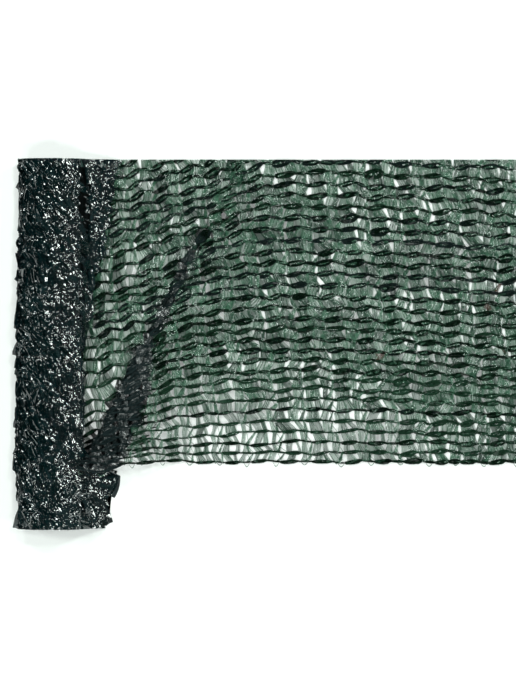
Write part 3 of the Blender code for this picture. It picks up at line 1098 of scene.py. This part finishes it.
def roll_line(y0, turn, shift, seed):
    """The line that one chain follows round the roll, with y0 its own Y."""
    degrees = np.linspace(ROLL_FROM_DEG, ROLL_TO_DEG, ROLL_POINTS)
    y = np.full_like(degrees, y0)
    points = roll_skin(y, degrees)
    steps = np.linalg.norm(np.diff(points, axis=0), axis=1)
    length = np.concatenate(([0.0], np.cumsum(steps)))
    to_near = ease(y0, 15.0, -70.0)
    slant = turn.far_slant + (turn.near_slant - turn.far_slant) * to_near
    y = y0 + slant * (length - SLANT_FROM)
    y_held = np.clip(y, -FAR_EDGE, FAR_EDGE)
    points = roll_skin(y_held, degrees)
    points[:, 1] = y
    normals = skin_normals(y_held, degrees)
    points = points - normals * turn.depth
    numbers = stitch_numbers(length + shift, ROLL_STITCH)
    uneven = SEAM_UNEVEN_DEG * math.sin(seed)
    seam = (degrees < SEAM_TOP_DEG + uneven) & (degrees > SEAM_SOLE_DEG + uneven / 2.0)
    present = (np.abs(y) < FAR_EDGE + OVERRUN) & ~(seam & (skirt_at(y_held) > 0.5))
    return Line(points, normals, numbers, present, ROLL_WAVE, seed)


def roll_spread(points):
    """How wide the film on the roll fans out: as wide everywhere."""
    return np.full(len(points), ROLL_SPREAD)


def roll_tone(points):
    """Its tone, which is the same everywhere."""
    return np.ones(len(points))


def roll_film(points, noise):
    """The number of its finish: it has only one."""
    return np.zeros(len(points))


roll_chain_mesh = Mesh()
roll_tape_mesh = Mesh()
for turn in ROLL_TURNS:
    noise = np.random.default_rng(turn.seed)
    lay = Lay(
        fold_depth=0.42, arch=turn.arch, drift=0.25, uneven=0.32,
        spread_of=roll_spread, tone_of=roll_tone, film_of=roll_film,
    )
    starts = np.arange(-FAR_EDGE - 24.0 + turn.shift, FAR_EDGE + 12.0, ROLL_PITCH)
    lines = []
    for number, y0 in enumerate(starts):
        shift = -number * ROLL_PITCH * COURSE_LEAN * ROLL_LEAN
        lines.append(roll_line(y0, turn, shift, turn.seed + number))
        for first, last in chain_runs(lines[-1]):
            add_chain(roll_chain_mesh, lines[-1], first, last, noise, roll_tone, ROLL_TWIST)
    for lower, upper in zip(lines, lines[1:]):
        add_tape(roll_tape_mesh, lower, upper, noise, lay)
# Painted shade and painted reflection: near black with a blue cast, though the film is the loose end's green.
roll_chain_shade_finish = film_finish(
    "wound_chain_film", colour=(0.003, 0.014, 0.015), shade=(0.001, 0.005, 0.005), roughness=0.15
)
roll_tape_shade_finish = film_finish(
    "wound_tape_film", colour=(0.004, 0.018, 0.020), shade=(0.001, 0.006, 0.007),
    roughness=0.12, alpha=0.92, creases=0.5,
)
roll_chains = roll_chain_mesh.piece("roll_chains", roll_chain_shade_finish, smooth=False)
roll_tapes = roll_tape_mesh.piece("roll_tapes", roll_tape_shade_finish, smooth=False)
for piece in (roll_chains, roll_tapes):
    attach(piece, "root")


# ----------------------------------------------------------
# Slack film on the roll
# The last turn was wound slack, so short lengths of its film tape stand up between the stitches in small
# bent loops, and each catches the light for itself.

SLACK_COUNT = 5200
SLACK_LENGTH = (0.9, 3.0)
SLACK_WIDTH = (0.35, 1.0)
SLACK_RISE = (0.02, 0.40)
SLACK_DEGREES = (-40.0, 222.0)  # how far round the roll it stands
SLACK_UNDER = 0.35  # how far under the skin its ends lie
SLACK_LEAN_DEG = -50.0  # the way most of it runs, from the way round the roll
SLACK_SPREAD_DEG = 32.0
SLACK_TILT = 0.35
SLACK_CREASE = 0.04
SLACK_SPANS = 4
SLACK_NEAR_SHARE = 0.35  # of it lies on the near skirt, beyond its even share
NEAR_SKIRT_END = -44.0  # Y
WOUND_FILM_IOR = 1.60  # taut film, glossier than the loose end's

noise = np.random.default_rng(41)
slack_y = noise.uniform(-FAR_EDGE, FAR_EDGE, SLACK_COUNT)
on_near_skirt = noise.random(SLACK_COUNT) < SLACK_NEAR_SHARE
slack_y = np.where(on_near_skirt, noise.uniform(-FAR_EDGE, NEAR_SKIRT_END, SLACK_COUNT), slack_y)
slack_degrees = noise.uniform(*SLACK_DEGREES, SLACK_COUNT)
on_seam = (slack_degrees > SEAM_SOLE_DEG) & (slack_degrees < SEAM_TOP_DEG) & (skirt_at(slack_y) > 0.5)
slack_y, slack_degrees = slack_y[~on_seam], slack_degrees[~on_seam]
count = len(slack_y)
up = skin_normals(slack_y, slack_degrees)
foot = roll_skin(slack_y, slack_degrees) - up * SLACK_UNDER
round_roll = unit(roll_skin(slack_y, slack_degrees - 1.0) - roll_skin(slack_y, slack_degrees + 1.0))
along_roll = unit(np.cross(up, round_roll))
lean = np.radians(noise.normal(SLACK_LEAN_DEG, SLACK_SPREAD_DEG, count))[:, None]
heading = round_roll * np.cos(lean) + along_roll * np.sin(lean)
side = np.cross(up, heading)
tilt = noise.normal(0.0, SLACK_TILT, count)[:, None]
side = unit(side * np.cos(tilt) + up * np.sin(tilt))
t = np.linspace(-0.5, 0.5, SLACK_SPANS + 1)
length = noise.uniform(*SLACK_LENGTH, count)[:, None, None]
width = noise.uniform(*SLACK_WIDTH, count)[:, None, None]
rise = noise.uniform(*SLACK_RISE, count)[:, None, None]
middle = foot[:, None, :] + heading[:, None, :] * length * t[None, :, None]
middle = middle + up[:, None, :] * rise * np.cos(math.pi * t)[None, :, None]
crease = noise.normal(0.0, SLACK_CREASE, (count, 1, 1))
columns = []
for across, lift in ((-0.5, 0.0), (0.0, 1.0), (0.5, 0.0)):
    columns.append(middle + side[:, None, :] * width * across + up[:, None, :] * crease * lift)
tones = np.repeat(noise.uniform(*TONES, count), len(t) * len(columns))
slack = Mesh()
slack.add(np.stack(columns, axis=2), many_grids(count, len(t), len(columns)), tones)
# Painted shade: the slack film is as dark and blue-grey as the rest of the roll's film.
slack_shade_finish = film_finish(
    "slack_film", colour=(0.006, 0.022, 0.025), shade=(0.003, 0.009, 0.010), roughness=0.09, creases=0.25
)
for finish in (roll_tape_shade_finish, slack_shade_finish):
    finish.node_tree.nodes["Principled BSDF"].inputs["IOR"].default_value = WOUND_FILM_IOR
slack_film = slack.piece("slack_film", slack_shade_finish)
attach(slack_film, "root")
